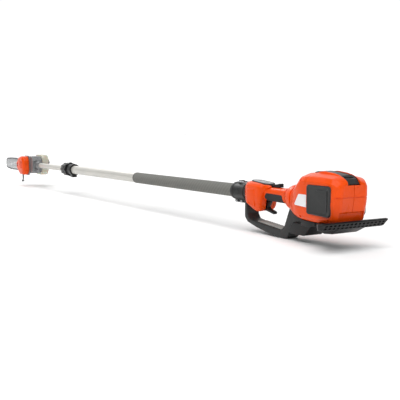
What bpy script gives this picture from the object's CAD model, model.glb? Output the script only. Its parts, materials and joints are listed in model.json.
"""Looks of the telescoping pole saw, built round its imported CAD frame."""

import json
import math

import bmesh
import bpy
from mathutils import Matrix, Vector


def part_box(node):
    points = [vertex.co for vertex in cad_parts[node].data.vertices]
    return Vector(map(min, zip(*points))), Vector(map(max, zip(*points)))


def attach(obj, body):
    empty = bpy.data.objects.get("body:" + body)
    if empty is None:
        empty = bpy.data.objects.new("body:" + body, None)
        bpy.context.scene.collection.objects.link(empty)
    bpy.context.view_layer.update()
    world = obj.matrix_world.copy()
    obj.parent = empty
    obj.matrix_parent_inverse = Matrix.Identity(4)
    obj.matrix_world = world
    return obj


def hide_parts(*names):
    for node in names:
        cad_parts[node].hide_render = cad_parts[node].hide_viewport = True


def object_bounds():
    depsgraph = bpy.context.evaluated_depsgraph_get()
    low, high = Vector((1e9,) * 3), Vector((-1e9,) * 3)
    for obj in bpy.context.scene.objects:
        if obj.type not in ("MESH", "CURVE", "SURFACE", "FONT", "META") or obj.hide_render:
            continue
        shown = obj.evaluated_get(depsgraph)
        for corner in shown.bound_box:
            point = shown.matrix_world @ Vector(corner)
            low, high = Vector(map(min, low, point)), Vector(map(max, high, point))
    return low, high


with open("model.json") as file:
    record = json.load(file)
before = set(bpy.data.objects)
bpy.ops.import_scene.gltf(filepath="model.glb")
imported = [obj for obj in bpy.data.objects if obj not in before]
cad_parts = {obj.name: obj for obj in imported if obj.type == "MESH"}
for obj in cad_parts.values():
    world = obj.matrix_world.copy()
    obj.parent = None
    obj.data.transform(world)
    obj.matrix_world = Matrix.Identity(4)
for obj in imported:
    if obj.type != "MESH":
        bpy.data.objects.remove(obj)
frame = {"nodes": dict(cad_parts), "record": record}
CAD_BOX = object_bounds()
NODES = frame["nodes"]

# ---- The pole's own frame ----------------------------------------------------
# Lengths below are millimetres from the point on the pole's axis where the
# control module ends: x runs forward, y to the left, z up.

MM = 0.001
TUBE_LOW, TUBE_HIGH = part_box("outer_tube")
TUBE_REAR = -60
ORIGIN = Vector((TUBE_LOW.x - TUBE_REAR * MM, 0, (TUBE_LOW.z + TUBE_HIGH.z) / 2))


def at(x, y, z):
    """A point of the pole's frame, in the row frame and in metres."""
    return ORIGIN + Vector((x, y, z)) * MM


# ---- Camera ------------------------------------------------------------------

CAMERA_AT = (-1642, 1187, 177)
CAMERA_FORWARD = Vector((0.843, -0.529, -0.0995))
LENS_MM = 63


def add_object(name, data):
    made = bpy.data.objects.new(name, data)
    bpy.context.scene.collection.objects.link(made)
    return made


def add_camera():
    data = bpy.data.cameras.new("photo_camera")
    data.lens = LENS_MM
    data.sensor_width = 36
    data.clip_start = 0.05
    data.clip_end = 60
    camera = add_object("photo_camera", data)
    camera.location = at(*CAMERA_AT)
    camera.rotation_euler = CAMERA_FORWARD.to_track_quat("-Z", "Y").to_euler()
    bpy.context.scene.camera = camera


# ---- Materials ---------------------------------------------------------------


def new_material(name):
    material = bpy.data.materials.new(name)
    material.use_nodes = True
    tree = material.node_tree
    shader = tree.nodes["Principled BSDF"]
    return material, tree, shader


def add_node(tree, kind, **settings):
    """A shader node with some of its inputs set; underscores stand for the spaces in their names."""
    node = tree.nodes.new(kind)
    for name, value in settings.items():
        node.inputs[name.replace("_", " ")].default_value = value
    return node


def noise(tree, scale, detail=3.0, stretch=(1, 1, 1)):
    """Noise over the object's own coordinates; scale is in cycles a metre."""
    where = add_node(tree, "ShaderNodeTexCoord")
    mapping = add_node(tree, "ShaderNodeMapping", Scale=stretch)
    texture = add_node(tree, "ShaderNodeTexNoise", Scale=scale, Detail=detail)
    tree.links.new(where.outputs["Object"], mapping.inputs["Vector"])
    tree.links.new(mapping.outputs["Vector"], texture.inputs["Vector"])
    return texture.outputs["Fac"]


def remapped(tree, value, **settings):
    """A value remapped from the settings' From_Min..From_Max to their To_Min..To_Max."""
    remap = add_node(tree, "ShaderNodeMapRange", **settings)
    tree.links.new(value, remap.inputs["Value"])
    return remap.outputs["Result"]


def spread(tree, value, low, high):
    """Remaps a noise value from about 0.3..0.7 to low..high."""
    return remapped(tree, value, From_Min=0.3, From_Max=0.7, To_Min=low, To_Max=high)


def colour_mix(tree, factor):
    mix = tree.nodes.new("ShaderNodeMix")
    mix.data_type = "RGBA"
    tree.links.new(factor, mix.inputs["Factor"])
    return mix


def tint(tree, value, dark, light):
    """Blends two colours by a noise value."""
    mix = colour_mix(tree, value)
    mix.inputs["A"].default_value = (*dark, 1)
    mix.inputs["B"].default_value = (*light, 1)
    return mix.outputs["Result"]


def bump(tree, shader, height, strength, distance):
    """Surface grain, over edges that look slightly rounded."""
    edge = add_node(tree, "ShaderNodeBevel", Radius=0.0005)
    edge.samples = 4
    grain = add_node(tree, "ShaderNodeBump", Strength=strength, Distance=distance)
    tree.links.new(edge.outputs["Normal"], grain.inputs["Normal"])
    tree.links.new(height, grain.inputs["Height"])
    tree.links.new(grain.outputs["Normal"], shader.inputs["Normal"])


def worn(tree, colour, wear_colour, amount):
    """Lightens outward edges a little, where hands and grit polish them."""
    geometry = tree.nodes.new("ShaderNodeNewGeometry")
    edge = remapped(tree, geometry.outputs["Pointiness"], From_Min=0.52, From_Max=0.66, To_Max=amount)
    mix = colour_mix(tree, edge)
    mix.inputs["B"].default_value = (*wear_colour, 1)
    tree.links.new(colour, mix.inputs["A"])
    return mix.outputs["Result"]


def scaled(colour, k):
    return tuple(min(1.0, c * k) for c in colour)


def shades(tree, pattern, colour, dark, light):
    """A colour that wanders between two shades of itself with a noise pattern."""
    return tint(tree, spread(tree, pattern, 0, 1), scaled(colour, dark), scaled(colour, light))


def surface(tree, shader, colour, pattern, low, high):
    """Base colour, and a roughness that wanders from low to high with a noise pattern."""
    tree.links.new(colour, shader.inputs["Base Color"])
    tree.links.new(spread(tree, pattern, low, high), shader.inputs["Roughness"])


def moulded(name, colour, roughness=0.45, grain=0.12, grain_scale=900, coat=0.0, gloss=0.4):
    """Injection-moulded plastic with a fine spark-eroded grain."""
    material, tree, shader = new_material(name)
    broad = noise(tree, 18, 4)
    fine = noise(tree, grain_scale, 2)
    base = worn(tree, shades(tree, broad, colour, 0.93, 1.05), scaled(colour, 1.5), 0.25)
    surface(tree, shader, base, broad, roughness - 0.05, roughness + 0.07)
    shader.inputs["Coat Weight"].default_value = coat
    shader.inputs["Coat Roughness"].default_value = 0.16
    shader.inputs["Specular IOR Level"].default_value = gloss
    bump(tree, shader, fine, grain, 0.0004)
    return material


def rubber(name, colour, grain=0.35):
    """Soft matt rubber with a coarse grain."""
    material, tree, shader = new_material(name)
    fine = noise(tree, 650, 4)
    broad = noise(tree, 30, 3)
    surface(tree, shader, shades(tree, broad, colour, 0.88, 1.12), fine, 0.72, 0.88)
    shader.inputs["Specular IOR Level"].default_value = 0.35
    bump(tree, shader, fine, grain, 0.0005)
    return material


def metal(name, colour, roughness=0.32, stretch=(1, 1, 1), streak_scale=220, anisotropic=0.0, grain=0.1):
    """Metal whose machining or rolling marks run along the axis with the least stretch."""
    material, tree, shader = new_material(name)
    streaks = noise(tree, streak_scale, 5, stretch)
    broad = noise(tree, 25, 4)
    base = shades(tree, streaks, colour, 0.86, 1.08)
    surface(tree, shader, base, broad, roughness - 0.07, roughness + 0.1)
    shader.inputs["Metallic"].default_value = 1.0
    shader.inputs["Anisotropic"].default_value = anisotropic
    bump(tree, shader, streaks, grain, 0.0003)
    return material


def coated_tube(name, colour):
    """Aluminium tube with a satin clear-coated finish and faint drawing lines."""
    material, tree, shader = new_material(name)
    lines = noise(tree, 260, 4, (0.03, 1, 1))
    broad = noise(tree, 9, 3)
    surface(tree, shader, shades(tree, broad, colour, 0.95, 1.03), lines, 0.3, 0.42)
    shader.inputs["Metallic"].default_value = 0.35
    shader.inputs["Coat Weight"].default_value = 0.3
    shader.inputs["Coat Roughness"].default_value = 0.2
    bump(tree, shader, lines, 0.06, 0.0002)
    return material


def foam(name, colour):
    """Closed-cell foam with fine pores and faint diagonal moulding streaks."""
    material, tree, shader = new_material(name)
    where = add_node(tree, "ShaderNodeTexCoord")
    cells = add_node(tree, "ShaderNodeTexVoronoi", Scale=900)
    wave = add_node(tree, "ShaderNodeTexWave", Scale=42, Distortion=2.5)
    wave.bands_direction = "DIAGONAL"
    tree.links.new(where.outputs["Object"], cells.inputs["Vector"])
    tree.links.new(where.outputs["Object"], wave.inputs["Vector"])
    base = tint(tree, wave.outputs["Fac"], scaled(colour, 0.93), scaled(colour, 1.06))
    tree.links.new(base, shader.inputs["Base Color"])
    shader.inputs["Roughness"].default_value = 0.88
    shader.inputs["Specular IOR Level"].default_value = 0.25
    bump(tree, shader, cells.outputs["Distance"], 0.45, 0.0006)
    return material


def cast(name, colour):
    """Shot-blasted aluminium casting."""
    material, tree, shader = new_material(name)
    sand = noise(tree, 520, 6)
    broad = noise(tree, 22, 4)
    surface(tree, shader, shades(tree, broad, colour, 0.86, 1.05), sand, 0.42, 0.62)
    shader.inputs["Metallic"].default_value = 0.85
    bump(tree, shader, sand, 0.3, 0.0006)
    return material


def translucent(name, colour):
    """Blow-moulded tank plastic that glows a little in its depth."""
    material, tree, shader = new_material(name)
    broad = noise(tree, 30, 4)
    surface(tree, shader, shades(tree, broad, colour, 0.93, 1.04), broad, 0.3, 0.42)
    shader.inputs["Subsurface Weight"].default_value = 0.35
    shader.inputs["Subsurface Scale"].default_value = 0.004
    bump(tree, shader, noise(tree, 160, 3), 0.12, 0.0005)
    return material


ORANGE = (0.87, 0.078, 0.003)
SLOTS = {
    "housing_orange": (moulded, ORANGE, 0.3, 0.05, 1100, 0.12, 0.16),
    "dark_shell": (moulded, (0.034, 0.036, 0.036), 0.42, 0.16, 900, 0.0, 0.3),
    "black_plastic": (moulded, (0.006, 0.006, 0.0065), 0.34, 0.1, 1000, 0.0, 0.3),
    "soft_grip": (rubber, (0.03, 0.03, 0.032)),
    "guard_rubber": (rubber, (0.40, 0.40, 0.38), 0.2),
    "foam": (foam, (0.19, 0.19, 0.175)),
    "tube_paint": (coated_tube, (0.60, 0.585, 0.54)),
    "steel": (metal, (0.48, 0.49, 0.51), 0.3),
    "chain_steel": (metal, (0.20, 0.20, 0.205), 0.38),
    "bar_steel": (metal, (0.52, 0.53, 0.54), 0.3, (0.04, 1, 1), 300, 0.4),
    "cast_alloy": (cast, (0.30, 0.305, 0.31)),
    "tank_plastic": (translucent, (0.62, 0.58, 0.48)),
    "key_plastic": (moulded, (0.36, 0.37, 0.39), 0.4),
    "bush_plastic": (moulded, (0.60, 0.58, 0.53), 0.45),
    "copper": (metal, (0.72, 0.28, 0.12), 0.3, (1, 0.1, 1), 500),
    "board": (moulded, (0.02, 0.16, 0.08), 0.3, 0.05, 400, 0.5),
    "cell_wrap": (moulded, (0.04, 0.18, 0.10), 0.25, 0.05, 300, 0.4),
    "hook_steel": (moulded, (0.02, 0.02, 0.021), 0.35, 0.2, 500, 0.2),
    "wire_insulation": (moulded, (0.015, 0.015, 0.016), 0.5),
}
MATERIALS = {name: make(name, *settings) for name, (make, *settings) in SLOTS.items()}
LABEL_WHITE = moulded("label_white", (0.85, 0.85, 0.86), 0.4, 0.02, 400)


def dress_cad_nodes():
    """Gives each CAD node the material of its slot in the record."""
    for row in frame["record"]["subparts"]:
        mesh = NODES[row["node"]].data
        mesh.materials.clear()
        mesh.materials.append(MATERIALS[row["material_slot"]])


# ---- Mesh tools --------------------------------------------------------------
# Outlines and places are in the pole's frame, in millimetres. An outline's corner
# may carry a third value, the radius that rounds it.


def corner_arc(a, b, c, radius, steps):
    """Points of the arc that replaces corner b between neighbours a and c."""
    a, b, c = (Vector(p[:2]) for p in (a, b, c))
    u = (a - b).normalized()
    w = (c - b).normalized()
    half = math.acos(max(-1, min(1, u.dot(w)))) / 2
    radius = min(radius, 0.49 * min((a - b).length, (c - b).length) * math.tan(half))
    centre = b + (u + w).normalized() * radius / math.sin(half)
    start = b + u * radius / math.tan(half) - centre
    end = b + w * radius / math.tan(half) - centre
    first = math.atan2(start.y, start.x)
    turn = (math.atan2(end.y, end.x) - first + math.pi) % (2 * math.pi) - math.pi
    angles = [first + turn * i / steps for i in range(steps + 1)]
    return [(centre.x + radius * math.cos(t), centre.y + radius * math.sin(t)) for t in angles]


def rounded(points, steps=7):
    """Outline with each corner (x, y, radius) rounded; every ring of one kind has the same count."""
    outline = []
    for i, corner in enumerate(points):
        if len(corner) < 3 or corner[2] == 0:
            outline.append(corner[:2])
        else:
            outline += corner_arc(points[i - 1], corner, points[(i + 1) % len(points)], corner[2], steps)
    return outline


def mirrored(points):
    """Outline made of a right-hand run of corners and its mirror image in the first value."""
    return points + [(-p[0], *p[1:]) for p in reversed(points)]


def forward(points, x):
    """Points or corners moved forward by x."""
    return [(p[0] + x, *p[1:]) for p in points]


def inset(corners, d):
    """Corners of an outline, each moved toward the middle by d both ways."""
    middle_x = sum(c[0] for c in corners) / len(corners)
    middle_z = sum(c[1] for c in corners) / len(corners)
    return [
        (x - math.copysign(d, x - middle_x), z - math.copysign(d, z - middle_z), max(1, r - d / 2))
        for x, z, r in corners
    ]


def stadium(low, high, half_width, steps=16):
    """Outline with half-round ends, reaching from low to high."""
    turns = [math.pi * (i / steps - 0.5) for i in range(steps + 1)]
    front = [(high - half_width + half_width * math.cos(t), half_width * math.sin(t)) for t in turns]
    rear = [(low + half_width - half_width * math.cos(t), -half_width * math.sin(t)) for t in turns]
    return front + rear


def wavy(radius, wave, lobes, steps=10):
    """Round outline with a wavy rim."""
    outline = []
    for i in range(lobes * steps):
        t = 2 * math.pi * i / (lobes * steps)
        reach = radius + wave * math.cos(lobes * t)
        outline.append((reach * math.cos(t), reach * math.sin(t)))
    return outline


def catmull(a, b, c, d, t):
    """Point at t, from 0 to 1, on the Catmull-Rom curve from b to c."""
    return 0.5 * (
        2 * b + (c - a) * t + (2 * a - 5 * b + 4 * c - d) * t * t + (3 * b - a - 3 * c + d) * t ** 3
    )


def new_object(name, rings, faces):
    mesh = bpy.data.meshes.new(name)
    mesh.from_pydata([at(*p) for ring in rings for p in ring], [], faces)
    mesh.validate()
    work = bmesh.new()
    work.from_mesh(mesh)
    bmesh.ops.recalc_face_normals(work, faces=work.faces)
    work.to_mesh(mesh)
    work.free()
    return add_object(name, mesh)


def skin(rings, runs):
    """Faces between each ring and the next, for the given number of runs."""
    count = len(rings[0])
    faces = []
    for k in range(runs):
        n = (k + 1) % len(rings)
        for i in range(count):
            j = (i + 1) % count
            faces.append((k * count + i, k * count + j, n * count + j, n * count + i))
    return faces


def loft(name, rings):
    """Closed skin through rings of the same count."""
    count = len(rings[0])
    last = (len(rings) - 1) * count
    caps = [tuple(range(count))[::-1], tuple(range(last, last + count))]
    return new_object(name, rings, caps + skin(rings, len(rings) - 1))


SEAM = 0.12
PLACING = {
    "x": lambda p, t: (t, p[0], p[1]),
    "y": lambda p, t: (p[0], t, p[1]),
    "z": lambda p, t: (p[0], p[1], t),
}


def prism(name, outline, low, high, axis="y"):
    """Outline (in the other two axes, in x, y, z order) run from low to high along the axis."""
    place = PLACING[axis]
    return loft(name, [[place(p, t) for p in outline] for t in (low, high)])


def domed(name, side, steps, arc_steps=9):
    """Outline of a side view, drawn in by each step's first value at its second, the y."""
    return loft(name, [[(x, y, z) for x, z in rounded(inset(side, d), arc_steps)] for d, y in steps])


def box(name, low, high):
    outline = [(low[0], low[1]), (high[0], low[1]), (high[0], high[1]), (low[0], high[1])]
    return prism(name, outline, low[2], high[2], "z")


def circle(radius, x=0, y=0, steps=64):
    turns = [2 * math.pi * i / steps for i in range(steps)]
    return [(x + radius * math.cos(t), y + radius * math.sin(t)) for t in turns]


def rod(name, low, high, radius, a=0, b=0, axis="x", steps=64):
    return prism(name, circle(radius, a, b, steps), low, high, axis)


def turned(name, profile, axis="x", a=0, b=0, steps=96):
    """Solid of revolution: profile is (place along the axis, radius), closed on itself."""
    place = PLACING[axis]
    rings = []
    for i in range(steps):
        t = 2 * math.pi * i / steps
        rings.append([place((a + r * math.cos(t), b + r * math.sin(t)), x) for x, r in profile])
    return new_object(name, rings, skin(rings, steps))


def apply_modifiers(obj):
    graph = bpy.context.evaluated_depsgraph_get()
    mesh = bpy.data.meshes.new_from_object(obj.evaluated_get(graph))
    obj.modifiers.clear()
    old = obj.data
    obj.data = mesh
    bpy.data.meshes.remove(old)
    return obj


def combine(obj, tools, operation):
    """Boolean of obj with each tool in turn; the tools are used up."""
    for tool in tools:
        modifier = obj.modifiers.new("combine", "BOOLEAN")
        modifier.operation = operation
        modifier.solver = "EXACT"
        modifier.object = tool
        bpy.context.view_layer.update()
        apply_modifiers(obj)
        if not obj.data.polygons:
            raise ValueError(f"{operation} with {tool.name} left nothing of {obj.name}")
        bpy.data.objects.remove(tool)
    return obj


def cut(obj, *tools):
    return combine(obj, tools, "DIFFERENCE")


def fuse(obj, *tools):
    return combine(obj, tools, "UNION")


def keep(obj, *tools):
    return combine(obj, tools, "INTERSECT")


def gather(name, parts):
    """One object from several as they are, such as a row of cutters."""
    work = bmesh.new()
    for part in parts:
        work.from_mesh(part.data)
        bpy.data.objects.remove(part)
    mesh = bpy.data.meshes.new(name)
    work.to_mesh(mesh)
    work.free()
    return add_object(name, mesh)


def duplicate(obj, name):
    made = obj.copy()
    made.data = obj.data.copy()
    made.name = name
    bpy.context.scene.collection.objects.link(made)
    return made


def soften(obj, width, segments=3, angle=28):
    """Real rounded edges, width in millimetres, on every edge sharper than the angle."""
    modifier = obj.modifiers.new("edges", "BEVEL")
    modifier.width = width * MM
    modifier.segments = segments
    modifier.limit_method = "ANGLE"
    modifier.angle_limit = math.radians(angle)
    modifier.use_clamp_overlap = True
    bpy.context.view_layer.update()
    return apply_modifiers(obj)


def smooth_shading(obj, angle=32):
    for polygon in obj.data.polygons:
        polygon.use_smooth = True
    obj.data.set_sharp_from_angle(angle=math.radians(angle))


def dress(obj, body, slot, replaced=(), angle=32):
    """Material, body, record slot and the CAD nodes that the piece stands for."""
    smooth_shading(obj, angle)
    obj.data.materials.clear()
    obj.data.materials.append(MATERIALS[slot])
    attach(obj, body)
    if replaced:
        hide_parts(*replaced)
    return obj


def split_and_dress(shell, kind, angle):
    """Splits an orange shell at y = 0, leaving a hairline seam, and dresses both halves."""
    left = duplicate(shell, f"{kind}_shell_left")
    shell.name = f"{kind}_shell_right"
    for half, side, node in ((left, 1, f"{kind}_left"), (shell, -1, f"{kind}_right")):
        work = bmesh.new()
        work.from_mesh(half.data)
        everything = work.verts[:] + work.edges[:] + work.faces[:]
        bmesh.ops.bisect_plane(
            work, geom=everything, plane_co=at(0, side * SEAM, 0), plane_no=(0, side, 0), clear_inner=True
        )
        work.to_mesh(half.data)
        work.free()
        dress(half, "power_unit", "housing_orange", [node], angle)


# ---- Rear housing ------------------------------------------------------------

# From the rear wall to the neck: x, half-widths of the side, the bottom, the
# shoulder and the top, and heights of the bottom, the side's top, the shoulder
# and the top
HOUSING_RINGS = [
    (-438.05, 35, 29, 30, 12, -39, 37, 46, 51),
    (-438, 36, 30, 31, 13, -40, 38, 47, 52),
    (-436.9, 42, 35, 36, 16, -43, 40, 50, 55),
    (-433.5, 47.5, 39, 40.5, 18, -45, 42.5, 53, 58),
    (-428, 52.3, 42, 44, 20, -46, 45, 56.5, 61.5),
    (-421, 55.8, 44.5, 47, 21, -47, 48, 59.5, 65),
    (-411, 57.6, 46, 49, 22, -47.5, 50, 62, 68),
    (-385, 58.3, 46.5, 50, 22, -48, 51.5, 63.5, 71.5),
    (-345, 58.3, 46.5, 50, 22, -48, 52, 64.5, 73),
    (-318, 58, 46, 49.5, 21, -46.8, 52, 64, 71.8),
    (-306, 57.6, 46, 48.5, 21, -45.8, 49, 62.5, 70.5),
    (-296, 56.8, 45, 46, 20, -44.6, 42, 58, 67.2),
    (-286, 55, 43, 42.5, 19, -43, 33, 51, 60.8),
    (-276, 52, 40, 38.5, 18, -41, 25, 44.4, 53.5),
    (-266, 48, 37, 34.5, 17, -38.6, 18, 38, 46.6),
    (-254, 42, 31.5, 30, 15, -35, 13, 31, 39),
    (-245, 37, 27, 27, 13, -32, 10, 26.5, 34.2),
    (-240, 34.5, 25, 25.5, 12, -30.6, 9, 25, 32.2),
]
VENT_RADIUS = 1.6
BATTERY_HALF = 20
WELL_HALF = 20.8
PANEL_CORNERS = [(-335, -28, 7), (-334, 45, 7), (-419, 45, 8), (-418, -31, 8)]
SCREW_HEAD = 3.3
GROOVE_LOW = 17
# The rear wall leans forward by this much a millimetre below the groove, fully
# at its corner and not at all TUCK_RUN farther forward
REAR_TUCK = 0.165
TUCK_FRONT = -412
TUCK_RUN = 22


def shell_section(row):
    """Corners of a shell's cross-section: bottom, side, shoulder and top."""
    side, low_half, shoulder, top_half, low, side_top, shoulder_z, top = row
    rise = side_top - low
    return rounded(mirrored([
        (low_half, low, 12),
        (side - 3, low + 0.11 * rise, 14),
        (side, low + 0.5 * rise, 40),
        (side - 0.9, side_top, 6),
        (shoulder, shoulder_z, 6),
        (top_half, top, 12),
    ]), 6)


def section_ring(row):
    return [(row[0], y, z) for y, z in shell_section(row[1:])]


def tuck_rear(obj):
    """Leans the rear wall forward below the groove."""
    for vertex in obj.data.vertices:
        x = (vertex.co.x - ORIGIN.x) / MM
        z = (vertex.co.z - ORIGIN.z) / MM
        share = min(1, max(0, (TUCK_FRONT - x) / TUCK_RUN))
        vertex.co.x += REAR_TUCK * share * max(0, GROOVE_LOW - z) * MM
    return obj


def fine_rows(rows, steps=4):
    """More rows, on a smooth (Catmull-Rom) run through the given ones."""
    made = []
    for i in range(len(rows) - 1):
        before = rows[max(0, i - 1)]
        after = rows[min(len(rows) - 1, i + 2)]
        for k in range(steps):
            t = k / steps
            made.append(tuple(catmull(*four, t) for four in zip(before, rows[i], rows[i + 1], after)))
    return made + [rows[-1]]


def battery_lip():
    """Raised lip that hugs the battery's long sides and dips under its rear end."""
    side = [
        (-318, 60, 4), (-326, 69, 10), (-342, 75.5, 20), (-358, 77, 40), (-390, 74, 30), (-410, 70, 20),
        (-423, 63, 14), (-430.5, 54.5, 8), (-436.8, 45.5, 4), (-432, 38, 2), (-410, 40, 2), (-330, 40, 2),
    ]
    edge = [(25.8, 3.6, -4.4), (25.3, 1.8, -2.4), (24.2, 0.5, -0.8), (22.4, 0, 0)]
    rings = edge + [(-y, dx, dz) for y, dx, dz in reversed(edge)]
    return loft("lip", [[(x + dx, y, z + dz) for x, z in rounded(side)] for y, dx, dz in rings])


def groove_outline():
    """Plan of the cutter for the groove across the rear wall, a little over 1 mm deep."""
    floor = rounded([
        (-424, -53.6), (-428, -50.6, 3), (-436.7, -40, 9), (-436.7, 40, 9), (-428, 50.6, 3), (-424, 53.6),
    ])
    return [(-424, -62), (-446, -62), (-446, 62), (-424, 62)] + floor[::-1]


def build_housing():
    shell = loft("housing", [section_ring(row) for row in fine_rows(HOUSING_RINGS)])
    well = prism(
        "well",
        rounded([
            (-433.2, 30, 2), (-433.2, 46.8, 1), (-450, 46.8, 1), (-450, 95, 1), (-317.2, 95, 1),
            (-317.2, 30, 2),
        ]),
        -WELL_HALF, WELL_HALF,
    )
    scoop = prism(
        "scoop",
        rounded([(-450, -17, 1), (-435.4, -17, 1.5), (-432.6, -20, 3), (-433.2, -50, 2), (-450, -50, 1)]),
        -40, 40,
    )
    soften(scoop, 4, 4)
    groove = prism("groove", groove_outline(), GROOVE_LOW, GROOVE_LOW + 2, "z")
    seam = box("seam", (-445, -0.6, -60), (-436.6, 0.6, 60))
    wells = [
        rod("screw_well", side * 50, side * 66, SCREW_HEAD, x, z, "y", 40)
        for x, z in ((-306, -37), (-408, -39), (-306, 53))
        for side in (-1, 1)
    ]
    pockets = [prism("pocket", rounded(PANEL_CORNERS), side * 56, side * 70) for side in (-1, 1)]
    lip = cut(battery_lip(), duplicate(well, "well_again"))
    cut(shell, well, scoop, groove, seam, gather("screw_wells", wells), *pockets)
    split_and_dress(gather("housing", [tuck_rear(shell), lip]), "housing", 24)


def build_side_panels():
    """Dark covers with a soft rim, dished in the middle, and an upright rib near the rear edge."""
    steps = [(0.7, 55), (0.7, 59.2), (1.4, 60.2), (2.8, 60.6), (4.6, 60.5), (6.4, 59.7), (8, 59.3)]
    rib_corners = [(-405.5, 33, 1.2), (-408.5, 33, 1.2), (-408, -18, 1.2), (-405, -18, 1.2)]
    ledge_corners = [(-372, 31, 1), (-406, 31, 1), (-406, 33.4, 1), (-372, 33.4, 1)]
    for which, side in (("left", 1), ("right", -1)):
        panel = domed(f"panel_{which}", PANEL_CORNERS, [(d, side * y) for d, y in steps], 7)
        ends = sorted((side * 58, side * 60.5))
        rib = prism("rib", rounded(rib_corners, 5), *ends)
        ledge = prism("ledge", rounded(ledge_corners, 5), *ends)
        fuse(panel, soften(fuse(rib, ledge), 0.8))
        dress(panel, "power_unit", "dark_shell", [f"side_panel_{which}"], 35)


def build_label():
    """Blank plate beside the left cover, white though it shares the keys' slot."""
    corners = rounded([(-287, -9, 3), (-303, 19, 6), (-332.4, 19, 1), (-332.4, -12, 1)])
    label = prism("rating_label", corners, 57.4, 58.35)
    dress(label, "power_unit", "key_plastic")
    label.data.materials[0] = LABEL_WHITE


def vent_hole(x, radius, turn):
    """Cutter for one hole, leaning with the flare, at a turn round the pole."""
    y = math.cos(turn)
    z = math.sin(turn)
    ends = []
    for depth in (-5, 4):
        ring = []
        for k in range(16):
            a = 2 * math.pi * k / 16
            u = VENT_RADIUS * math.cos(a)
            w = VENT_RADIUS * math.sin(a)
            ring.append((x + 0.45 * depth + u, (radius + depth) * y - w * z, (radius + depth) * z + w * y))
        ends.append(ring)
    return loft("hole", ends)


def build_intake_ring():
    """Flared neck with two rows of small vent holes."""
    profile = [
        (-203.4, 15), (-203.4, 20.6), (-204, 21.6), (-206.5, 24.8), (-211, 28.6), (-218, 32.2), (-226, 35),
        (-233, 36.6), (-240.5, 37), (-240.5, 29.5), (-226, 28), (-214, 22), (-207, 15),
    ]
    ring = turned("intake_ring_shell", profile)
    holes = [
        vent_hole(x, radius, 2 * math.pi * (i + shift) / count)
        for x, radius, count, shift in ((-211.5, 29, 18, 0), (-221, 33.5, 22, 0.5))
        for i in range(count)
    ]
    cut(ring, gather("holes", holes))
    dress(ring, "power_unit", "housing_orange", ["intake_ring"], 40)


# ---- Bumper and foot ---------------------------------------------------------

WING_ROOT = 40
WING_TIP = 116
WING_LOW = -57.2
RIM_TOP = -33.7
RIM_DROOP = 4.2
# Height, rear edge, half-width and front edge of the wings' outline, from the
# bottom over the rim and down inside
WING_RINGS = [
    (-57.2, -433, 103, -356), (-57, -436.5, 106.5, -354), (-55.6, -439, 108.5, -353),
    (-50, -442, 110.8, -352), (-44, -445, 112.6, -352), (-41, -446.8, 113.5, -352),
    (-39, -447.8, 113.9, -352), (-37, -448, 114, -352.4), (-35.2, -447.3, 113.4, -353),
    (-34, -445.4, 111.8, -354), (-33.7, -443.4, 109.8, -356), (-34.2, -441.6, 108, -358),
    (-35.8, -440.5, 106.6, -359), (-39, -439.6, 105.4, -360), (-46, -435, 98, -366),
]


def wing_point(x, y, z):
    """The wings thin out and droop toward their tips, and sink toward the front, under the housing."""
    outward = min(1, max(0, (abs(y) - WING_ROOT) / (WING_TIP - WING_ROOT)))
    forward = min(1, max(0, (x + 440) / 86))
    low = -61.5 + 6.5 * outward + 3 * forward
    top = RIM_TOP - RIM_DROOP * (y / WING_TIP) ** 2 - 18 * forward
    share = (z - WING_LOW) / (RIM_TOP - WING_LOW)
    return x, y, low + (top - low) * share


def wing_ring(z, rear, half, front):
    """Swept outline of the wings: wide and straight at the rear, narrow at the front."""
    middle = -422 + (rear + 448) / 2
    right = [
        (rear, half - 9, 12), (rear + 8, half, 8), (middle, half - 12, 22), (-395, half - 37, 30),
        (front, half - 76, 6),
    ]
    outline = rounded(right + [(x, -y, r) for x, y, r in reversed(right)], 6)
    return [wing_point(x, y, z) for x, y in outline]


def slope_pocket(y, t):
    """Pocket in the bumper's rear slope, t down from the rim."""
    down = Vector((9, 0, -16)).normalized()
    out = Vector((-16, 0, -9)).normalized()
    middle = Vector((-448, y, -38.6)) + down * t
    ends = []
    for depth, grow in ((-3, -0.6), (2, 0.2)):
        high = 2.6 + grow
        wide = 4.3 + grow
        corners = rounded([(high, wide, 1), (-high, wide, 1), (-high, -wide, 1), (high, -wide, 1)], 4)
        points = [middle + out * depth + down * a + Vector((0, b, 0)) for a, b in corners]
        ends.append([wing_point(*p) for p in points])
    return loft("pocket", ends)


def build_bumper():
    """Wings with two rows of pockets in their rear slope, and the keel between them."""
    wings = loft("bumper_guard", [wing_ring(*row) for row in WING_RINGS])
    keel_side = [
        (-352, -49, 2), (-432, -49, 1), (-432, -57.5, 1), (-408, -71, 8), (-380, -73.5, 8), (-353, -61, 6),
    ]
    keel = []
    for y, grow in ((-44, 2.2), (-41, 0.5), (-38, 0), (38, 0), (41, 0.5), (44, 2.2)):
        keel.append([(x, y, z + (grow if z < -60 else 0)) for x, z in rounded(keel_side)])
    pockets = gather("pockets", [slope_pocket(13.2 * i, t) for i in range(-7, 8) for t in (5.2, 13)])
    keel = cut(loft("keel", keel), duplicate(pockets, "keel_pockets"))
    wings = gather("bumper_guard", [cut(wings, pockets), keel])
    dress(wings, "power_unit", "black_plastic", ["bumper"], 32)


def build_belly():
    """Strip under the housing, with the support foot below."""
    strip = prism(
        "belly_and_foot",
        rounded([
            (-299, -46, 1), (-345, -48, 1), (-352, -48, 1), (-352, -57, 3), (-327, -62.5, 3), (-299, -62, 1),
        ]),
        -46, 46,
    )
    foot = prism(
        "foot",
        rounded([(-228, -91, 8), (-246, -60.5, 2), (-325, -60.5, 2), (-318, -66, 4), (-294, -91, 12)], 9),
        -30, 30,
    )
    fuse(soften(strip, 2.5), soften(foot, 3.5, 4))
    dress(strip, "power_unit", "black_plastic", ["belly_cover"], 35)


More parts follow.
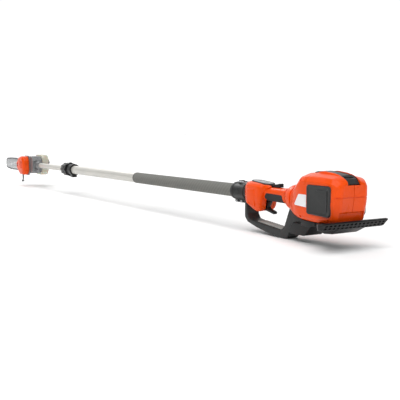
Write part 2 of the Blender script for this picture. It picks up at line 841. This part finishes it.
# ---- Battery -----------------------------------------------------------------


def build_battery():
    """Battery with two grooves along its top and the release bar in a recess."""
    side = [
        (-326, -8, 2), (-326, 64, 1), (-319, 66, 1), (-319, 73, 4), (-332, 76, 12), (-352, 75.8, 30),
        (-388, 72, 30), (-411, 68, 10), (-425, 61, 7), (-435.2, 48.4, 2.5), (-431, 46.9, 1), (-426, 44, 1),
        (-426, -8, 2),
    ]
    case = soften(prism("battery_shell", rounded(side), -BATTERY_HALF, BATTERY_HALF), 2.6, 4, 30)
    recess = prism(
        "recess",
        rounded([(-407.8, 80, 1), (-407.8, 62.5, 2), (-409, 60.4, 1), (-420.8, 60.4, 1), (-420.8, 80, 1)]),
        -14.4, 14.4,
    )
    groove_side = [(-335, 74.8), (-335, 90), (-398, 90), (-398, 70), (-388, 71.2)]
    grooves = [prism("groove", groove_side, y, y + 1.2) for y in (-13.6, 12.4)]
    cut(case, soften(recess, 1, 2), *grooves)
    dress(case, "battery", "dark_shell", ["battery_case"], 30)
    bar_side = rounded([(-420, 63.6, 1), (-408.6, 63.6, 1), (-408.6, 66.2, 1), (-420, 66.2, 1)])
    button = soften(prism("release_bar", bar_side, -13.5, 13.5), 0.6)
    dress(button, "battery_release", "black_plastic", ["release_button"], 35)


# ---- Handle and control module -----------------------------------------------

# As HOUSING_RINGS, from the collar back to the lobe on the handle's top
MODULE_RINGS = [
    (-24.2, 15, 12, 12, 8, -22, 10, 14, 17),
    (-24.8, 19, 14, 15.5, 10, -26.5, 14, 18.5, 21.5),
    (-28, 23, 16, 18.5, 12, -29, 16.5, 21.5, 25),
    (-36, 28, 19, 22, 14, -31.5, 20, 28.5, 32),
    (-48, 32, 22, 25.8, 17, -35, 23, 31, 34),
    (-62, 33.4, 23, 27, 18.5, -40.5, 23.5, 31, 33.6),
    (-78, 33.8, 23.5, 27.5, 19, -47, 22.8, 29.8, 32.3),
    (-88, 33.8, 23.5, 27.5, 19, -48.6, 22, 28.8, 31.3),
    (-98, 33.6, 23.5, 27, 19, -45.5, 21.4, 27.8, 30.3),
    (-103.5, 32.8, 23, 26.5, 18.8, -41.5, 20.6, 27, 29.7),
    (-107, 31, 22, 25.5, 18.5, -32, 20.2, 26.6, 29.2),
    (-109.4, 28.6, 20, 24, 18, -14, 19.8, 26.2, 28.8),
    (-113, 24.6, 18, 21.6, 17, 4, 19.6, 25.6, 28.2),
    (-120, 21, 16, 19, 15.5, 14, 20.4, 24.8, 27.2),
    (-129, 19.4, 15, 17.4, 14, 19, 21.4, 23.8, 25.2),
    (-132, 17, 13, 15.4, 12, 20, 21.2, 22.8, 23.8),
]
# From the module back to the neck: x, half-width, heights of the bottom and the top
HANDLE_ROWS = [
    (-100, 20.4, -15, 21.6), (-115, 20.2, -15.4, 21.6), (-138, 19.9, -16.2, 21.2), (-162, 20.1, -16.5, 21.2),
    (-184, 20.5, -16.6, 21.5), (-197, 20.9, -17.2, 21.9), (-203.2, 21.4, -18.6, 22),
]
INSERT_SIDE = [(-116, -4, 7), (-123, 5.5, 7), (-191, 4, 6), (-199, -22, 4), (-124, -22, 1)]
TRIGGER_GAP = [(-84, -52, 0), (-84, -7.6, 3), (-127, -7.6, 3), (-127, -24, 0), (-112, -56, 0)]
KEYS = [("key_power", "power_key", -66), ("key_mode", "mode_key", -100)]
KEY_RADIUS = 6
KEYPAD_MIDDLE = -84
KEYPAD_TILT = 0.085


def handle_ring(row, grow=0.0):
    x, half, low, high = row
    corners = [(half + grow, low - grow, 12), (half + grow, high + grow, 13)]
    return [(x, y, z) for y, z in rounded(mirrored(corners), 10)]


def handle_skin(name, grow=0.0):
    return loft(name, [handle_ring(row, grow) for row in fine_rows(HANDLE_ROWS)])


def build_handle():
    """Control module and the handle behind it, as one shell in two halves."""
    rings = [section_ring(row) for row in fine_rows(MODULE_RINGS, 3)]
    shell = fuse(loft("handle", rings), handle_skin("tube"))
    pad_side = rounded([(-51, -27, 5), (-50, 13, 5), (-86, 14, 5), (-88, -36, 6)])
    pads = [soften(prism("pad", pad_side, *ends), 1) for ends in ((-34.3, -30), (30, 34.3))]
    fuse(shell, *pads)
    wells = [
        rod("screw_well", side * 32.6, side * 40, SCREW_HEAD, x, z, "y", 40)
        for x, z in ((-64, -26), (-90, -36))
        for side in (-1, 1)
    ]
    slot = soften(box("slot", (-167.5, -8.6, 17), (-112, 8.6, 60)), 0.8, 2)
    cut(shell, prism("gap", rounded(TRIGGER_GAP), -8.4, 8.4), slot, *wells)
    split_and_dress(shell, "handle", 26)


def build_grip_insert():
    """Soft insert moulded round the handle's underside, standing slightly proud."""
    skin = keep(handle_skin("grip_insert_skin", 0.6), prism("limit", rounded(INSERT_SIDE), -40, 40))
    cut(skin, prism("gap", rounded(TRIGGER_GAP), -8, 8))
    dress(soften(skin, 0.45, 2, 40), "power_unit", "soft_grip", ["grip_insert"], 30)


def tilted(obj):
    """Leans a keypad part back toward the user, about the keypad's middle."""
    for vertex in obj.data.vertices:
        vertex.co.z += KEYPAD_TILT * (vertex.co.x - at(KEYPAD_MIDDLE, 0, 0).x)
    return obj


def build_keypad():
    """Oval bezel with a raised rim round a grey membrane and two keys."""
    steps = [
        (0, 28.5), (0, 32.2), (0.5, 33.2), (1.4, 33.8), (2.4, 34), (3.6, 33.8), (4.6, 33.2), (5.4, 32.6),
    ]
    rings = [[(x, y, z) for x, y in stadium(-125 + d, -43 - d, 19.5 - d)] for d, z in steps]
    bezel = loft("keypad_rim", rings)
    membrane = prism("keypad_membrane", stadium(-119.4, -48.6, 13.9), 32, 33.5, "z")
    for _, _, x in KEYS:
        for plate in (bezel, membrane):
            cut(plate, rod("hole", 20, 40, KEY_RADIUS + 0.4, x, 0, "z"))
    dress(tilted(bezel), "power_unit", "dark_shell", ["keypad_bezel"], 35)
    dress(tilted(soften(membrane, 0.3, 2)), "power_unit", "key_plastic", (), 35)
    for node, body, x in KEYS:
        profile = [
            (27, 0.02), (27, KEY_RADIUS), (33.8, KEY_RADIUS), (34.6, 5.6), (35, 4.6), (34.8, 3), (34.6, 0.02),
        ]
        key = turned(f"{node}_cap", profile, "z", x, 0, 64)
        dress(tilted(key), body, "key_plastic", [node], 35)


def build_triggers():
    """Trigger under the handle, and the lockout lever with its thumb grooves on top."""
    outline = [
        (-106, -13, 3), (-118.5, -14.5, 3), (-119.5, -22, 7), (-109, -37, 5), (-138, -44.6, 4),
        (-142, -49.5, 3), (-137.4, -53, 3), (-98, -44.6, 8), (-92.5, -35, 5), (-96, -18, 4),
    ]
    trigger = soften(prism("trigger_lever", rounded(outline), -6, 6), 2, 4)
    dress(trigger, "trigger", "black_plastic", ["trigger"], 35)
    side = [
        (-117.8, 21, 1), (-117.8, 26.2, 1), (-124, 26.3, 3), (-132, 28, 6), (-150, 30.5, 12),
        (-163, 33, 2.4), (-165.5, 31.5, 2), (-165.5, 22.6, 1), (-140, 21.5, 3),
    ]
    lever = soften(prism("lockout_paddle", rounded(side), -7, 7), 1.4, 4)
    grooves = [
        box("groove", (x - 0.6, -9, 29.6 + 0.15 * (-x - 140)), (x + 0.6, 9, 40))
        for x in range(-160, -139, 4)
    ]
    cut(lever, gather("grooves", grooves))
    dress(lever, "lockout", "black_plastic", ["lockout_lever"], 35)


# ---- Loop guard --------------------------------------------------------------

# The loop's outer edge runs from the module down and back to the belly, and the
# inner edge runs forward again
LOOP_OUTER = [
    (-24.5, -29, 0), (-24.5, -70, 14), (-38, -82.5, 16), (-78, -93.5, 70), (-145, -106, 70),
    (-176, -110, 24), (-207, -110, 12), (-219, -100, 14), (-240, -62, 6), (-298, -62, 2),
    (-298, -45, 0), (-281, -43, 0), (-262, -36, 0), (-240, -29, 0),
]
LOOP_INNER = [
    (-224, -27, 0), (-203, -76, 12), (-189, -89, 9), (-75, -78.2, 40), (-46, -73.5, 9), (-37, -60, 12),
    (-36, -30, 0),
]
PAD_REAR = (-182, -88.1)
PAD_FRONT = (-80, -78.5)


def build_loop_guard():
    guard = prism("loop", rounded(LOOP_OUTER, 10) + rounded(LOOP_INNER, 10), -21, 21)
    soften(guard, 4.5, 5, 40)
    dress(guard, "power_unit", "dark_shell", ["loop_guard"], 35)


def build_guard_pad():
    """Ribbed pale strip along the guard's bottom arm."""
    run = Vector((PAD_FRONT[0] - PAD_REAR[0], PAD_FRONT[1] - PAD_REAR[1]))
    length = run.length
    along = run.normalized()
    profile = [(0, 0), (0, 1.6), (0.6, 2.2)]
    for i in range(13):
        start = 3 + 7.8 * i
        profile += [(start, 2.2), (start + 0.7, 3.2), (start + 2.1, 3.2), (start + 2.8, 2.2)]
    profile += [(length - 0.6, 2.2), (length, 1.6), (length, 0)]
    outline = [
        (PAD_REAR[0] + along.x * t - along.y * h, PAD_REAR[1] + along.y * t + along.x * h)
        for t, h in profile
    ]
    pad = soften(prism("guard_strip", outline, -15, 15), 0.25, 2, 30)
    dress(pad, "power_unit", "guard_rubber", ["guard_pad"], 30)


# ---- Pole fittings -----------------------------------------------------------

CLAMP_X = 1300


def build_pole_collar():
    """Clamp collar with a finned foot and a lug for the harness ring."""
    profile = [
        (-23.6, 18.4), (-23.6, 19.4), (-22.8, 20.2), (-15, 20.2), (-14, 21), (-14, 23), (-13, 24), (36, 24),
        (37.4, 25.5), (44, 25.5), (45, 24.5), (45, 18.4),
    ]
    collar = turned("collar", profile)
    foot_side = [(-12, -16, 0), (-12, -31, 3), (-9, -32, 2), (33, -32, 2), (36, -31, 3), (36, -16, 0)]
    foot = prism("foot", rounded(foot_side), -12, 12)
    lug = prism("lug", rounded([(14, 20, 0), (15.5, 30, 4), (20, 32, 3), (24.5, 30, 4), (26, 20, 0)]), -9, 9)
    fuse(collar, soften(foot, 1.5, 3), soften(lug, 1, 3))
    fins = [box("fin_gap", (-5 + 11 * i, -20, -34), (-1 + 11 * i, 20, -25.5)) for i in range(4)]
    bores = [rod("bore", -20, 20, 2.4, x, -28.5, "y", 32) for x in (2.5, 24.5)]
    grips = [
        box("grip", (-10 + 6 * i, side * 22.6 - 1, -12), (-7.4 + 6 * i, side * 22.6 + 3, 12))
        for i in range(8)
        for side in (-1, 1)
    ]
    split = box("split", (-30, -0.8, -40), (50, 0.8, -17))
    cut(collar, gather("fin_gaps", fins), gather("bores", bores), split, gather("grips", grips))
    dress(collar, "power_unit", "dark_shell", ["pole_collar"], 32)


def wavy_rings(low, high, radius, wave, lobes, round_off):
    """Rings of a wavy hand nut with rounded ends."""
    start = [(low, -round_off), (low + 0.3 * round_off, -0.3 * round_off), (low + round_off, 0)]
    end = [(high - round_off, 0), (high - 0.3 * round_off, -0.3 * round_off), (high, -round_off)]
    return [[(x, y, z) for y, z in wavy(radius + grow, wave, lobes)] for x, grow in start + end]


def build_pole_clamp():
    """Fixed clamp body with a wavy flange, and the wavy lock nut in front of it."""
    profile = [
        (0, 18.4), (0, 24.5), (1, 25.5), (7, 25.5), (8, 24.5), (60, 24.3), (60, 21.5), (84, 21.5),
        (84, 17.7), (40, 17.7), (40, 18.4),
    ]
    body = turned("clamp_shell", forward(profile, CLAMP_X))
    flange = loft("flange", wavy_rings(CLAMP_X + 46, CLAMP_X + 60, 30.4, 1.5, 8, 2.4))
    cut(flange, rod("bore", CLAMP_X + 40, CLAMP_X + 70, 20))
    lug = soften(box("lug", (CLAMP_X + 2, -10, -33), (CLAMP_X + 30, 10, -18)), 2, 3)
    fuse(body, flange, lug)
    split = box("split", (CLAMP_X - 1, -0.8, -40), (CLAMP_X + 34, 0.8, -17))
    cut(body, split, rod("bore", -20, 20, 2.4, CLAMP_X + 16, -28, "y", 32))
    dress(body, "power_unit", "black_plastic", ["clamp_body"], 32)
    nut = loft("lock_nut_shell", wavy_rings(CLAMP_X + 61, CLAMP_X + 106, 28.2, 1.4, 10, 3))
    cut(nut, rod("bore", CLAMP_X + 50, CLAMP_X + 120, 16.5), rod("bore", CLAMP_X + 50, CLAMP_X + 87, 21.6))
    dress(nut, "lock_nut", "dark_shell", ["lock_nut"], 32)


def build_sleeve_rings():
    """Thin end bands that finish the foam sleeve."""
    profile = [(0, 18.4), (0, 19.6), (0.6, 20), (3.2, 20), (3.8, 19.6), (3.8, 18.4)]
    for name, x in (("sleeve_band_rear", 46), ("sleeve_band_front", 686)):
        dress(turned(name, forward(profile, x)), "power_unit", "black_plastic", (), 35)


# ---- Chain and bar -----------------------------------------------------------

SPROCKET_X = 1880
NOSE_X = SPROCKET_X + 255
NOSE_RADIUS = 21
SPROCKET_PATH_RADIUS = 16.2
BAR_HALF_HEIGHT = 25
BAR_MIDDLE_Y = 47
CHAIN_LINKS = 34
STUD_X = SPROCKET_X + 46
HOOK_X = SPROCKET_X + 50
CAP_X = SPROCKET_X - 40
CAP_Z = 12


def chain_corners(d):
    """Closed path round the sprocket and the bar, d outside the bar's edge."""

    def arc(x, radius, start, end, steps):
        turns = [math.radians(start + (end - start) * i / steps) for i in range(steps + 1)]
        return [(x + (radius + d) * math.cos(t), (radius + d) * math.sin(t)) for t in turns]

    def run(side):
        return [
            (SPROCKET_X + 204, side * (BAR_HALF_HEIGHT - 1 + d)),
            (SPROCKET_X + 127.5, side * (BAR_HALF_HEIGHT + d)),
            (SPROCKET_X + 64, side * (BAR_HALF_HEIGHT - 2 + d)),
        ]

    nose = arc(NOSE_X, NOSE_RADIUS, -75, 75, 12)
    tail = arc(SPROCKET_X, SPROCKET_PATH_RADIUS, 100, 260, 12)
    return nose + run(1) + tail + run(-1)[::-1]


def smooth_loop(points, steps=6):
    """Closed Catmull-Rom run through the points."""
    made = []
    n = len(points)
    for i in range(n):
        p = [Vector(points[(i + k - 1) % n]) for k in range(4)]
        for k in range(steps):
            t = k / steps
            made.append(catmull(*p, t))
    return made


def even_points(path, count):
    """Points spaced evenly along a closed path."""
    lengths = [(path[(i + 1) % len(path)] - path[i]).length for i in range(len(path))]
    step = sum(lengths) / count
    made = []
    i, gone = 0, 0.0
    for k in range(count):
        while gone + lengths[i] < k * step:
            gone += lengths[i]
            i += 1
        made.append(path[i].lerp(path[(i + 1) % len(path)], (k * step - gone) / lengths[i]))
    return made


def link_plate(a, b, outline, low, high):
    """Plate between two rivets: outline in (share of the way, height outward)."""
    along = b - a
    out = Vector((along.y, -along.x)).normalized()
    points = [a + along * t + out * h for t, h in outline]
    return prism("link", [(p.x, p.y) for p in points], low, high)


# Outlines of the links: share of the way from rivet to rivet, height outward
PLATE_FOOT = [
    (-0.28, -1.6), (-0.14, -2.9), (0.14, -2.9), (0.3, -2.1), (0.7, -2.1), (0.86, -2.9), (1.14, -2.9),
    (1.28, -1.6),
]
STRAP = PLATE_FOOT + [
    (1.28, 1.6), (1.14, 2.9), (0.86, 2.9), (0.7, 2.3), (0.3, 2.3), (0.14, 2.9), (-0.14, 2.9), (-0.28, 1.6),
]
CUTTER = PLATE_FOOT + [
    (1.26, 1.8), (1.2, 3.4), (0.42, 3.5), (0.5, 2.2), (0.36, 1.2), (0.22, 1.8), (0.14, 3), (-0.1, 3.1),
    (-0.28, 1.4),
]
DRIVE = [
    (-0.28, -1.6), (-0.1, -3), (0.32, -3.1), (0.42, -5.4), (0.6, -5.4), (0.72, -3.1), (1.1, -3),
    (1.28, -1.6), (1.28, 1.6), (1.1, 2.9), (0.7, 2.2), (0.3, 2.2), (-0.1, 2.9), (-0.28, 1.6),
]
CUTTER_TOP = [(0.42, 2.9), (0.42, 3.55), (1.22, 3.3), (1.22, 2.8)]


def build_saw_chain():
    """Drive links in the middle, straps each side, and cutters on alternate sides."""
    rivets = even_points(smooth_loop(chain_corners(3.4)), 2 * CHAIN_LINKS)
    plates = []
    y = BAR_MIDDLE_Y
    for i in range(2 * CHAIN_LINKS):
        a = rivets[i]
        b = rivets[(i + 1) % len(rivets)]
        if i % 2 == 0:
            plates.append(link_plate(a, b, DRIVE, y - 0.65, y + 0.65))
        else:
            side = 1 if i % 4 == 1 else -1
            cutter = i % 6 in (1, 3)
            for s in (-1, 1):
                ends = sorted((y + s * 0.75, y + s * 2))
                plates.append(link_plate(a, b, CUTTER if cutter and s == side else STRAP, *ends))
            if cutter:
                plates.append(link_plate(a, b, CUTTER_TOP, *sorted((y - side * 0.4, y + side * 2.7))))
        plates.append(rod("rivet", y - 2.5, y + 2.5, 1.35, a.x, a.y, "y", 16))
    dress(soften(gather("chain_links", plates), 0.16, 1, 40), "front_pole", "chain_steel", ["saw_chain"], 35)


def build_guide_bar():
    """Bar with a groove round its edge, the stud slot, nose rivets and spot welds."""
    outline = [(p.x, p.y) for p in smooth_loop(chain_corners(0), 4)]
    bar = prism("bar", outline, BAR_MIDDLE_Y - 2, BAR_MIDDLE_Y + 2)
    keep(bar, box("limit", (SPROCKET_X + 26, 30, -60), (NOSE_X + 60, 60, 60)))
    slot_side = rounded([(14, -4.4, 4.3), (14, 4.4, 4.3), (-30, 4.4, 0), (-30, -4.4, 0)])
    slot = prism("slot", forward(slot_side, STUD_X), 40, 55)
    holes = [rod("hole", 40, 55, 2.4, STUD_X + 4, z, "y", 32) for z in (-13.5, 13.5)]
    cut(bar, slot, *holes)
    soften(bar, 0.35, 2, 50)
    rivets = []
    spots = [(-23, -9), (-37, 9), (-26, 0)]
    spots += [(5 * math.cos(t), 5 * math.sin(t)) for t in (0.5, 2.6, 4.7)]
    for side in (-1, 1):
        face = BAR_MIDDLE_Y + side * 2
        profile = [(-0.5, 0.02), (-0.5, 2.4), (0.05, 2.3), (0.35, 1.3), (0.4, 0.02)]
        for x, z in spots:
            head = [(face + side * y, radius) for y, radius in profile]
            rivets.append(turned("rivet", head, "y", NOSE_X + x, z, 24))
    dress(bar, "front_pole", "bar_steel", ["guide_bar"], 35)
    dress(gather("bar_rivets", rivets), "front_pole", "steel", (), 35)


# ---- Saw head ----------------------------------------------------------------


def build_clutch_cover():
    """Domed side cover with chip vents, a well for the bar nut and a mouth for the bar and chain."""
    side = forward([
        (30, -50, 14), (72, -24, 18), (76, 16, 16), (52, 36, 16), (6, 44, 20), (-30, 42, 16), (-42, 20, 14),
        (-42, -30, 14), (-24, -50, 14),
    ], SPROCKET_X)
    steps = [
        (0, 31.2), (0, 49), (0.6, 52), (1.8, 54.6), (4, 57.2), (7, 59.4), (10.5, 60.9), (14, 61.7), (17, 62),
    ]
    cover = domed("clutch_cover_shell", side, steps)
    hollow = domed("cover_hollow", inset(side, 3), [(0, 20), (0, 49), (2, 54), (7, 58.4), (12, 59)])
    pad = rod("nut_pad", 15, 70, 13, STUD_X, 0, "y")
    mouth = box("mouth", (SPROCKET_X + 40, 40, -33.5), (SPROCKET_X + 90, 52, 33.5))
    well = rod("well", 54.2, 70, 10, STUD_X, 0, "y")
    vent_side = rounded([(-26, -18, 1.9), (-22, -18, 1.9), (-16, 18, 1.9), (-20, 18, 1.9)])
    vents = [prism("vent", forward(vent_side, SPROCKET_X + 9 * i), 59.4, 70) for i in range(4)]
    hook_gap = box("hook_gap", (HOOK_X - 14, 30, -60), (HOOK_X + 14, 38, -10))
    cut(cover, cut(hollow, pad), mouth, well, gather("vents", vents), hook_gap)
    dress(cover, "front_pole", "housing_orange", ["clutch_cover"], 30)


def build_branch_hook():
    """Plate hook with a turned-over lip."""
    side = [
        (-11, -16, 5), (-11, -60, 14), (-2, -86, 8), (11, -86, 3), (11, -80, 2), (4, -76, 5), (9, -44, 26),
        (9, -16, 5),
    ]
    plate = soften(prism("hook_plate", rounded(forward(side, HOOK_X)), 31.2, 34.2), 0.5, 2)
    lip = soften(box("lip", (HOOK_X - 3, 27.2, -88.8), (HOOK_X + 10, 38.2, -84)), 1.2, 3)
    dress(gather("hook", [plate, lip]), "front_pole", "hook_steel", ["branch_hook"], 32)


def build_gear_housing():
    """Cast gear case with raised bands, the plate behind the bar, and the socket clamped on the tube."""
    xs = SPROCKET_X
    case_side = forward([
        (28, -36, 10), (28, 36, 10), (-20, 44, 16), (-70, 44, 14), (-92, 24, 14), (-92, -22, 12),
        (-66, -40, 14), (-20, -44, 16),
    ], xs)
    steps = [(6, -24), (3.4, -23.6), (1.6, -22.2), (1.2, -20)]
    for y in (-14, -4, 6, 16):
        steps += [(1.2, y - 2.4), (0, y - 1.2), (0, y + 1.2), (1.2, y + 2.4)]
    case = domed("gear_case", case_side, steps + [(1.2, 27.2)])
    plate_side = forward([
        (22, -52, 12), (66, -34, 14), (66, 30, 14), (16, 46, 16), (-40, 46, 14), (-52, 30, 14),
        (-52, -38, 14), (-36, -52, 10),
    ], xs)
    plate = domed("bar_plate", plate_side, [(1, 27), (0, 27.6), (0, 30.8)])
    socket = soften(rod("socket", xs - 128, xs - 72, 18.5), 1.2)
    lug = soften(box("lug", (xs - 124, -9, -31), (xs - 84, 9, -12)), 2.5)
    for y in (-13, 13):
        fuse(socket, soften(box("web", (xs - 100, y - 1.5, -14), (xs - 76, y + 1.5, 14)), 0.8))
    openings = [
        rod("tube_bore", xs - 130, xs - 80, 12.6),
        rod("shaft_bore", xs - 81, xs - 40, 8),
        rod("pinion_bore", xs - 44.5, xs, 13.1),
        rod("gear_cavity", -12, 13.5, 17, xs, 0, "y"),
        rod("bearing_bore", -20, 20.5, 10.1, xs, 0, "y"),
        rod("spindle_bore", 10, 40, 6, xs, 0, "y"),
        rod("pump_bore", -30, 2, 6.1, xs - 32, -27, "y"),
        rod("stud_bore", 20, 40, 4.1, STUD_X, 0, "y"),
        rod("hook_bore", 20, 40, 2.2, HOOK_X, -24, "y"),
        box("clamp_slot", (xs - 130, -0.8, -40), (xs - 83, 0.8, -8)),
    ]
    openings += [rod("bolt_bore", -20, 20, 2.2, x, -24, "y") for x in (xs - 114, xs - 94)]
    fuse(socket, lug)
    fuse(case, socket)
    fuse(case, plate)
    cut(case, *openings)
    dress(case, "front_pole", "cast_alloy", ["gear_housing"], 30)


def build_oil_tank():
    """Blow-moulded tank with round edges, a shallow groove round it and a neck."""
    side = forward([
        (14, -50, 14), (14, 50, 14), (-72, 50, 14), (-84, 34, 14), (-84, -34, 14), (-70, -50, 14),
    ], SPROCKET_X)
    steps = [
        (2, -24.4), (0.6, -25), (0, -26.4), (0, -41.4), (0.8, -42.4), (0.8, -43.6), (0, -44.6), (0, -50),
        (0.8, -54), (3, -58), (6.4, -60.8), (10, -62), (16, -61.6), (18, -60.8),
    ]
    tank = domed("tank", side, steps)
    fuse(tank, soften(rod("neck", -66, -58, 13, CAP_X, CAP_Z, "y"), 0.6))
    cut(tank, rod("mouth", -70, -54, 10, CAP_X, CAP_Z, "y"))
    dress(tank, "front_pole", "tank_plastic", ["oil_tank"], 32)


def build_oil_cap():
    """Gripped cap with a turning bar across it."""
    steps = [(14, -73.4), (14.1, -72.6), (14.1, -67.6), (13.6, -66.6)]
    rings = [[(CAP_X + a, y, CAP_Z + b) for a, b in wavy(radius, 0.5, 14)] for radius, y in steps]
    bar = soften(box("bar", (CAP_X - 12, -77, CAP_Z - 1.5), (CAP_X + 12, -73, CAP_Z + 1.5)), 0.9)
    stem = rod("stem", -67, -58, 9.6, CAP_X, CAP_Z, "y")
    dress(gather("cap", [loft("cap_rim", rings), bar, stem]), "oil_cap", "black_plastic", ["oil_cap"], 32)


# ---- Studio ------------------------------------------------------------------


def add_floor():
    mesh = bpy.data.meshes.new("floor")
    grid = bmesh.new()
    bmesh.ops.create_grid(grid, x_segments=8, y_segments=8, size=40)
    grid.to_mesh(mesh)
    grid.free()
    floor = add_object("floor", mesh)
    material, _, shader = new_material("floor")
    shader.inputs["Base Color"].default_value = (0.97, 0.97, 0.97, 1)
    shader.inputs["Roughness"].default_value = 0.9
    shader.inputs["Specular IOR Level"].default_value = 0.05
    mesh.materials.append(material)
    floor.location.z = CAD_BOX[0][2] - 0.0005


def add_light(name, place, target, size, power):
    data = bpy.data.lights.new(name, "AREA")
    data.shape = "DISK"
    data.size = size
    data.energy = power
    light = add_object(name, data)
    light.location = place
    aim = Vector(target) - Vector(place)
    light.rotation_euler = aim.to_track_quat("-Z", "Y").to_euler()


def light_studio():
    """White behind the object and dim behind the camera, a soft sun and three soft lamps."""
    world = bpy.data.worlds.new("studio")
    world.use_nodes = True
    tree = world.node_tree
    background = tree.nodes["Background"]
    where = add_node(tree, "ShaderNodeTexCoord")
    toward = add_node(tree, "ShaderNodeVectorMath")
    toward.operation = "DOT_PRODUCT"
    toward.inputs[1].default_value = CAMERA_FORWARD
    level = add_node(tree, "ShaderNodeMapRange", From_Min=0.15, From_Max=0.75, To_Min=0.1, To_Max=1.05)
    level.interpolation_type = "SMOOTHSTEP"
    tree.links.new(where.outputs["Generated"], toward.inputs[0])
    tree.links.new(toward.outputs["Value"], level.inputs["Value"])
    tree.links.new(level.outputs["Result"], background.inputs["Strength"])
    background.inputs["Color"].default_value = (1, 1, 1, 1)
    bpy.context.scene.world = world
    overhead = bpy.data.lights.new("overhead", "SUN")
    overhead.energy = 2.7
    overhead.angle = math.radians(70)
    sun = add_object("overhead", overhead)
    sun.rotation_euler = Vector((0.25, -0.35, -1)).to_track_quat("-Z", "Y").to_euler()
    add_light("key", (-1.5, 1.7, 0.9), (-0.1, 0, 0.1), 0.6, 3.5)
    add_light("front_softbox", (5.0, -0.3, 3.3), (0.2, 0, 0.1), 1.4, 42)
    add_light("rear_strip", (-1.9, -0.5, 0.7), (-0.3, 0, 0.1), 0.5, 2)


add_camera()
dress_cad_nodes()
build_housing()
build_side_panels()
build_label()
build_intake_ring()
build_bumper()
build_belly()
build_battery()
build_handle()
build_grip_insert()
build_keypad()
build_triggers()
build_loop_guard()
build_guard_pad()
build_pole_collar()
build_pole_clamp()
build_sleeve_rings()
build_guide_bar()
build_saw_chain()
build_clutch_cover()
build_branch_hook()
build_gear_housing()
build_oil_tank()
build_oil_cap()
add_floor()
light_studio()
bpy.context.scene.view_settings.view_transform = "Standard"

bpy.context.view_layer.update()
